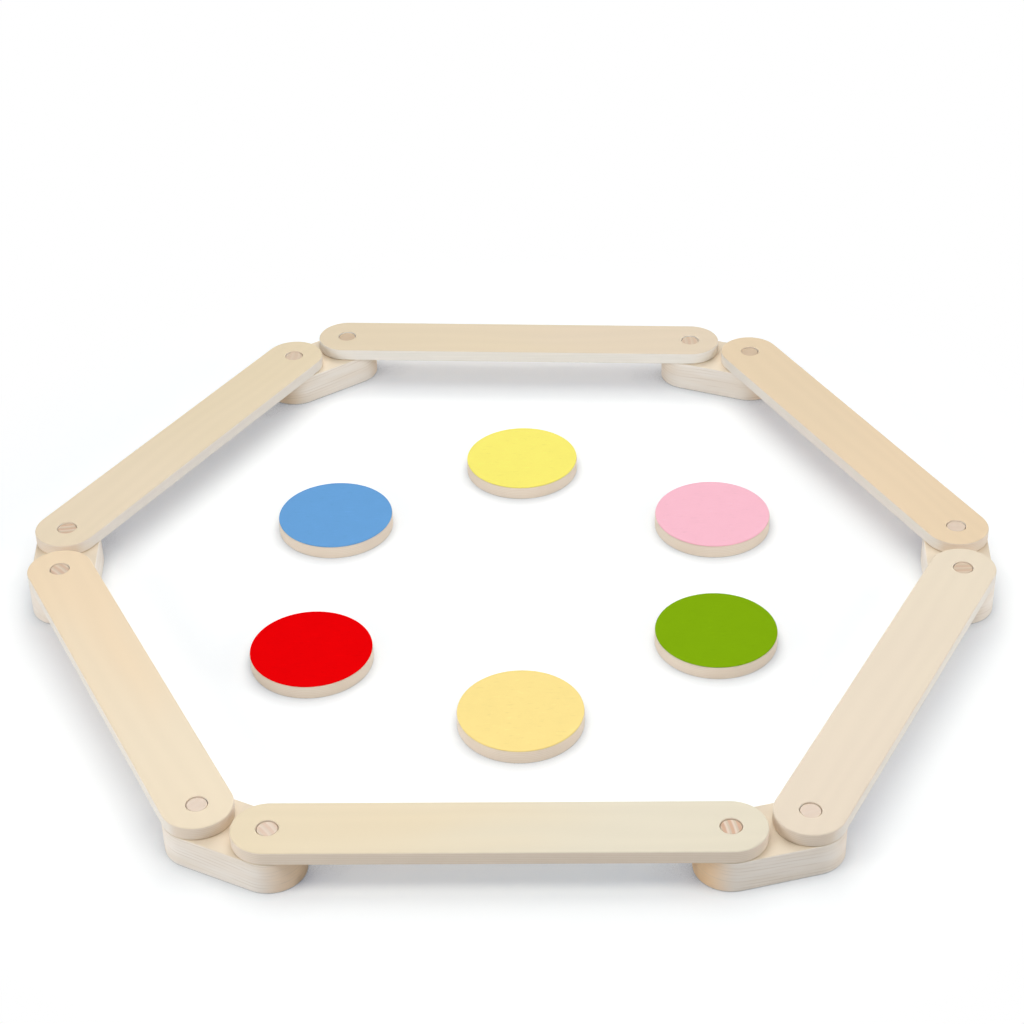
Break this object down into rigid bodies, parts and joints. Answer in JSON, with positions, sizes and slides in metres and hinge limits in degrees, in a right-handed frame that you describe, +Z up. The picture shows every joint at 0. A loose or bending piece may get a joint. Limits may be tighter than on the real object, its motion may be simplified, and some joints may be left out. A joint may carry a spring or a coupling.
{
  "type": "wooden balance beam",
  "caption": "Low wooden balance beam course: round-ended boards pinned by dowels to foot blocks in a closed ring, with round coloured stepping stones inside.",
  "frame": {"origin": "on the floor at the middle of the ring, which is the centre of the underside of the bounding box", "axes": "+X to the right along the front board, +Y from the front board to the back board, +Z up"},
  "size_m": [1.3195, 1.2318, 0.0633],
  "materials": {
    "birch_board": "sanded pale birch with a thin matt varnish",
    "birch_block": "sanded pale birch, its grain running along the sides",
    "beech_dowel": "bare beech end grain",
    "plywood": "sanded plywood edge",
    "cream_cover": "matt coloured non-slip sheet",
    "green_cover": "matt coloured non-slip sheet",
    "pink_cover": "matt coloured non-slip sheet",
    "yellow_cover": "matt coloured non-slip sheet",
    "blue_cover": "matt coloured non-slip sheet",
    "red_cover": "matt coloured non-slip sheet"
  },
  "bodies": {
    "front_left_foot": {"front_left_foot": "birch_block"},
    "front_beam_pivot": {"front_beam_start_dowel": "beech_dowel"},
    "front_beam": {"front_beam": "birch_board"},
    "front_right_foot": {"front_right_foot": "birch_block", "front_beam_end_dowel": "beech_dowel"},
    "front_right_beam_pivot": {"front_right_beam_start_dowel": "beech_dowel"},
    "front_right_beam": {"front_right_beam": "birch_board"},
    "right_foot": {"right_foot": "birch_block", "front_right_beam_end_dowel": "beech_dowel"},
    "back_right_beam_pivot": {"back_right_beam_start_dowel": "beech_dowel"},
    "back_right_beam": {"back_right_beam": "birch_board"},
    "back_right_foot": {"back_right_foot": "birch_block", "back_right_beam_end_dowel": "beech_dowel", "back_beam_start_dowel": "beech_dowel"},
    "front_left_beam_pivot": {"front_left_beam_end_dowel": "beech_dowel"},
    "front_left_beam": {"front_left_beam": "birch_board"},
    "left_foot": {"left_foot": "birch_block", "front_left_beam_start_dowel": "beech_dowel"},
    "back_left_beam_pivot": {"back_left_beam_end_dowel": "beech_dowel"},
    "back_left_beam": {"back_left_beam": "birch_board"},
    "back_left_foot": {"back_left_foot": "birch_block", "back_left_beam_start_dowel": "beech_dowel"},
    "back_beam_pivot": {"back_beam_end_dowel": "beech_dowel"},
    "back_beam": {"back_beam": "birch_board"},
    "cream_stone": {"cream_stone": "plywood", "cream_stone_cover": "cream_cover"},
    "green_stone": {"green_stone": "plywood", "green_stone_cover": "green_cover"},
    "pink_stone": {"pink_stone": "plywood", "pink_stone_cover": "pink_cover"},
    "yellow_stone": {"yellow_stone": "plywood", "yellow_stone_cover": "yellow_cover"},
    "blue_stone": {"blue_stone": "plywood", "blue_stone_cover": "blue_cover"},
    "red_stone": {"red_stone": "plywood", "red_stone_cover": "red_cover"}
  },
  "joints": [
    {"name": "front_beam_swing", "type": "hinge", "parent": "front_left_foot", "child": "front_beam_pivot", "pos_m": [-0.26895, -0.57192, 0.045], "axis": [0, 0, 1], "range_deg": [-7.84, 7.84]},
    {"name": "front_beam_lift", "type": "slide", "parent": "front_beam_pivot", "child": "front_beam", "axis": [0, 0, 1], "range_m": [0, 0.06]},
    {"name": "front_right_foot_turn", "type": "hinge", "parent": "front_beam_pivot", "child": "front_right_foot", "pos_m": [0.27105, -0.57192, 0.045], "axis": [0, 0, 1], "range_deg": [-19.36, 19.36]},
    {"name": "front_right_beam_swing", "type": "hinge", "parent": "front_right_foot", "child": "front_right_beam_pivot", "pos_m": [0.36526, -0.54491, 0.045], "axis": [0, 0, 1], "range_deg": [-7.94, 7.94]},
    {"name": "front_right_beam_lift", "type": "slide", "parent": "front_right_beam_pivot", "child": "front_right_beam", "axis": [0, 0, 1], "range_m": [0, 0.06]},
    {"name": "right_foot_turn", "type": "hinge", "parent": "front_right_beam_pivot", "child": "right_foot", "pos_m": [0.61125, -0.06419, 0.045], "axis": [0, 0, 1], "range_deg": [-19.46, 19.46]},
    {"name": "back_right_beam_swing", "type": "hinge", "parent": "right_foot", "child": "back_right_beam_pivot", "pos_m": [0.61587, 0.0337, 0.045], "axis": [0, 0, 1], "range_deg": [-25, 15]},
    {"name": "back_right_beam_lift", "type": "slide", "parent": "back_right_beam_pivot", "child": "back_right_beam", "axis": [0, 0, 1], "range_m": [0, 0.06]},
    {"name": "back_right_foot_turn", "type": "hinge", "parent": "back_right_beam_pivot", "child": "back_right_foot", "pos_m": [0.36485, 0.51181, 0.045], "axis": [0, 0, 1], "range_deg": [-15, 25]},
    {"name": "front_left_beam_swing", "type": "hinge", "parent": "front_left_foot", "child": "front_left_beam_pivot", "pos_m": [-0.35706, -0.52902, 0.045], "axis": [0, 0, 1], "range_deg": [-25, 15]},
    {"name": "front_left_beam_lift", "type": "slide", "parent": "front_left_beam_pivot", "child": "front_left_beam", "axis": [0, 0, 1], "range_m": [0, 0.06]},
    {"name": "left_foot_turn", "type": "hinge", "parent": "front_left_beam_pivot", "child": "left_foot", "pos_m": [-0.60808, -0.05091, 0.045], "axis": [0, 0, 1], "range_deg": [-15, 25]},
    {"name": "back_left_beam_swing", "type": "hinge", "parent": "left_foot", "child": "back_left_beam_pivot", "pos_m": [-0.61587, 0.04678, 0.045], "axis": [0, 0, 1], "range_deg": [-20, 20]},
    {"name": "back_left_beam_lift", "type": "slide", "parent": "back_left_beam_pivot", "child": "back_left_beam", "axis": [0, 0, 1], "range_m": [0, 0.06]},
    {"name": "back_left_foot_turn", "type": "hinge", "parent": "back_left_beam_pivot", "child": "back_left_foot", "pos_m": [-0.34424, 0.51349, 0.045], "axis": [0, 0, 1], "range_deg": [-17.16, 17.16]},
    {"name": "back_beam_swing", "type": "hinge", "parent": "back_left_foot", "child": "back_beam_pivot", "pos_m": [-0.26556, 0.57192, 0.045], "axis": [0, 0, 1], "range_deg": [-10.28, 10.28]},
    {"name": "back_beam_lift", "type": "slide", "parent": "back_beam_pivot", "child": "back_beam", "axis": [0, 0, 1], "range_m": [0, 0.06]},
    {"name": "cream_stone_lift", "type": "slide", "parent": "front_left_foot", "child": "cream_stone", "axis": [0, 0, 1], "range_m": [0, 0.02]},
    {"name": "green_stone_lift", "type": "slide", "parent": "front_left_foot", "child": "green_stone", "axis": [0, 0, 1], "range_m": [0, 0.02]},
    {"name": "pink_stone_lift", "type": "slide", "parent": "front_left_foot", "child": "pink_stone", "axis": [0, 0, 1], "range_m": [0, 0.02]},
    {"name": "yellow_stone_lift", "type": "slide", "parent": "front_left_foot", "child": "yellow_stone", "axis": [0, 0, 1], "range_m": [0, 0.02]},
    {"name": "blue_stone_lift", "type": "slide", "parent": "front_left_foot", "child": "blue_stone", "axis": [0, 0, 1], "range_m": [0, 0.02]},
    {"name": "red_stone_lift", "type": "slide", "parent": "front_left_foot", "child": "red_stone", "axis": [0, 0, 1], "range_m": [0, 0.02]}
  ],
  "couplings": [
    {"joint": "front_beam_swing", "follows": "back_left_beam_swing", "ratio": -0.392},
    {"joint": "front_right_foot_turn", "follows": "back_left_beam_swing", "ratio": 0.968},
    {"joint": "front_right_beam_swing", "follows": "back_left_beam_swing", "ratio": 0.397},
    {"joint": "right_foot_turn", "follows": "back_left_beam_swing", "ratio": -0.973},
    {"joint": "back_right_beam_swing", "follows": "front_left_beam_swing", "ratio": 1},
    {"joint": "back_right_foot_turn", "follows": "front_left_beam_swing", "ratio": -1},
    {"joint": "left_foot_turn", "follows": "front_left_beam_swing", "ratio": -1},
    {"joint": "back_left_foot_turn", "follows": "back_left_beam_swing", "ratio": -0.858},
    {"joint": "back_beam_swing", "follows": "back_left_beam_swing", "ratio": -0.514}
  ]
}
